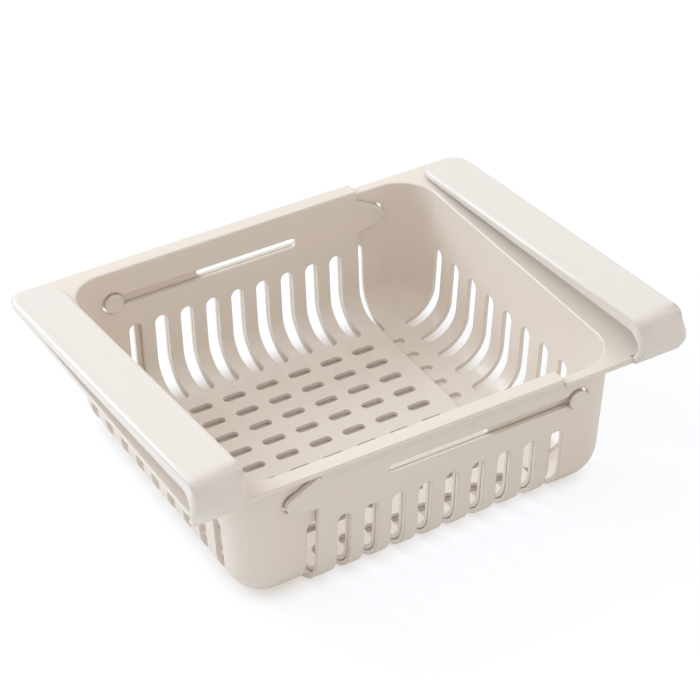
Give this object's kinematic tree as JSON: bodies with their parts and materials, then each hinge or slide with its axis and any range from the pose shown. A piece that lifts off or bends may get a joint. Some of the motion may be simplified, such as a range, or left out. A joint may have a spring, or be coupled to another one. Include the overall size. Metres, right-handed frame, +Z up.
{
  "type": "extendable hanging basket drawer",
  "caption": "Shallow slotted plastic basket in two telescoping halves, with a gripping rail at each end that hangs it under a refrigerator shelf.",
  "frame": {"origin": "centre of the closed drawer in plan, on the underside of the outer basket's floor", "axes": "+X along the travel, from the inner basket's closed end to the outer basket's; +Y from the front to the back of the refrigerator; +Z up"},
  "size_m": [0.2052, 0.157, 0.0773],
  "materials": {
    "shell": "warm off-white polypropylene, satin with soft gloss",
    "rail": "warm off-white polypropylene, satin",
    "button": "off-white polypropylene"
  },
  "bodies": {
    "outer_half": {"outer_basket_half": "shell", "right_hanger_rail": "rail", "outer_near_button": "button", "outer_far_button": "button"},
    "inner_half": {"inner_basket_half": "shell", "left_hanger_rail": "rail", "inner_near_button": "button", "inner_far_button": "button"}
  },
  "joints": [
    {"name": "telescope_slide", "type": "slide", "parent": "outer_half", "child": "inner_half", "axis": [-1, 0, 0], "range_m": [0, 0.08]}
  ]
}
